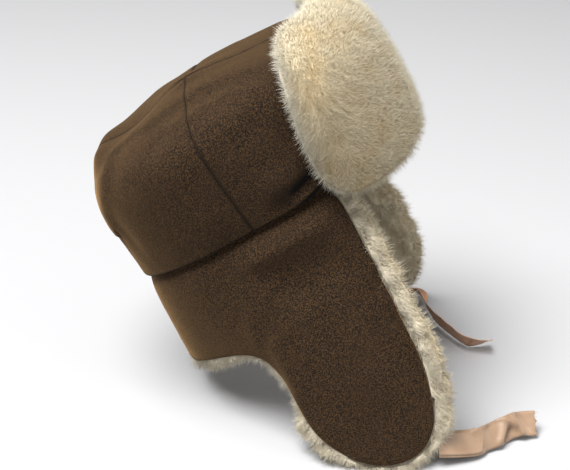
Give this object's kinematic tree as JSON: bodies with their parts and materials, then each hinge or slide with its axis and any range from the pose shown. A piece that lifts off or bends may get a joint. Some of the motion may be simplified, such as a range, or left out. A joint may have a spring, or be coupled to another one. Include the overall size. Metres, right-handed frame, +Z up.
{
  "type": "sheepskin hat",
  "caption": "Winter hat with a rounded wool cloth crown, a turned-up fleece visor and long fleece-lined ear flaps that end in ribbon ties.",
  "frame": {"origin": "inside of the top of the crown, where the top of a head carries the hat", "axes": "+Z up as the hat is worn, +X to the wearer's left, -Y to the front; the crown leans forward by 31 degrees"},
  "size_m": [0.2944, 0.3672, 0.3585],
  "materials": {
    "cloth": "matt brown wool cloth with a fine light and dark mixture",
    "fleece": "matt cream sheepskin wool",
    "ribbon": "soft satin ribbon"
  },
  "bodies": {
    "root": {"crown_front_right": "cloth", "crown_front_left": "cloth", "crown_back_right": "cloth", "crown_back_left": "cloth", "flap_cloth": "cloth", "flap_fleece": "fleece", "visor_cloth": "cloth", "visor_fleece": "fleece", "tie_right": "ribbon", "tie_left": "ribbon"}
  },
  "joints": []
}
